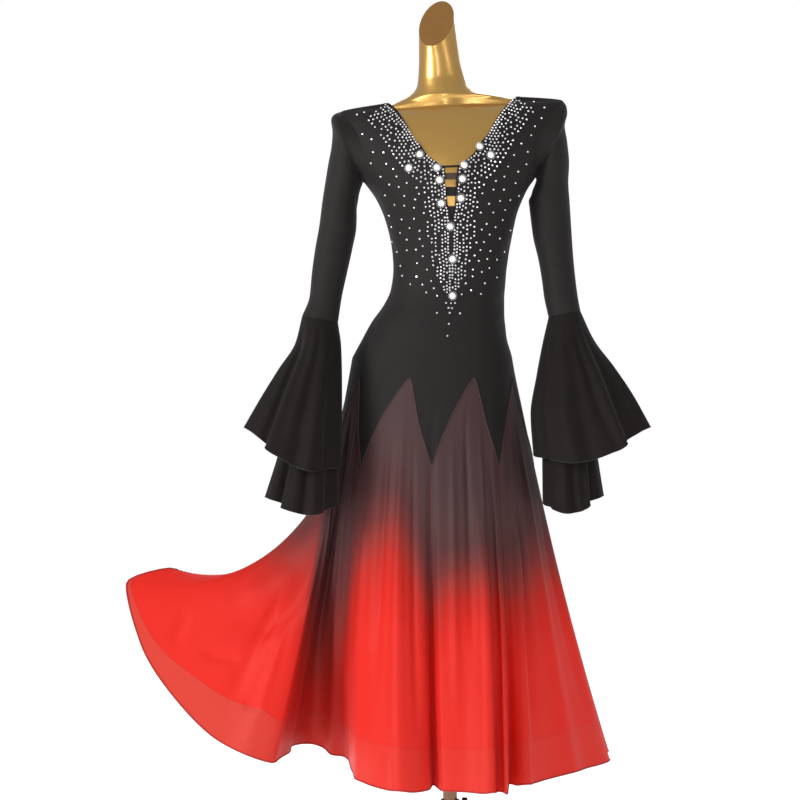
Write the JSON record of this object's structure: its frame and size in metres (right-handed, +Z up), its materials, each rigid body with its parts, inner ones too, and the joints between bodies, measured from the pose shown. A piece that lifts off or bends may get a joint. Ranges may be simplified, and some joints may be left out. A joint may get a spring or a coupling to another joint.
{
  "type": "ballroom dance dress on a dress form",
  "caption": "Long-sleeved black ballroom dance dress with a V neck set with stones, flounced cuffs and an ombre red godet skirt, on a gold limbless dress form and stand.",
  "frame": {"origin": "centre of the base's underside, on the axis of the stand's tube", "axes": "+Z up, the dress faces -Y, +X towards the viewer's right"},
  "size_m": [0.9134, 0.59, 1.6099],
  "materials": {
    "black_jersey": "soft stretch jersey",
    "black_georgette": "matte crepe georgette",
    "ombre_satin": "soft satin chiffon, shaded from brown black to red",
    "white_stone": "faceted and white",
    "gold_gloss": "plated gold gloss",
    "brushed_steel": "brushed",
    "black_plastic": "moulded"
  },
  "bodies": {
    "stand": {"stand_base": "brushed_steel", "stand_lower_tube": "brushed_steel", "clamp_collar": "black_plastic"},
    "figure": {"form_body": "gold_gloss", "stand_upper_tube": "brushed_steel", "bodice_front": "black_jersey", "bodice_back": "black_jersey", "slit_strap_1": "black_jersey", "slit_strap_2": "black_jersey", "slit_strap_3": "black_jersey", "slit_strap_4": "black_jersey", "sleeve_left": "black_jersey", "sleeve_right": "black_jersey", "flounce_upper_left": "black_georgette", "flounce_upper_right": "black_georgette", "flounce_lower_left": "black_georgette", "flounce_lower_right": "black_georgette", "skirt_panel_1": "ombre_satin", "skirt_panel_2": "ombre_satin", "skirt_panel_3": "ombre_satin", "skirt_panel_4": "ombre_satin", "skirt_panel_5": "ombre_satin", "skirt_panel_6": "ombre_satin", "skirt_panel_7": "ombre_satin", "skirt_panel_8": "ombre_satin", "stone_01": "white_stone", "stone_02": "white_stone", "stone_03": "white_stone", "stone_04": "white_stone", "stone_05": "white_stone", "stone_06": "white_stone", "stone_07": "white_stone", "stone_08": "white_stone", "stone_09": "white_stone", "stone_10": "white_stone", "stone_11": "white_stone", "stone_12": "white_stone", "stone_13": "white_stone"},
    "screw": {"clamp_screw": "black_plastic"}
  },
  "joints": [
    {"name": "height_slide", "type": "slide", "parent": "stand", "child": "figure", "axis": [0, 0, 1], "range_m": [0, 0.09]},
    {"name": "clamp_turn", "type": "hinge", "parent": "stand", "child": "screw", "pos_m": [0.026, 0, 0.179], "axis": [1, 0, 0], "continuous": true}
  ]
}
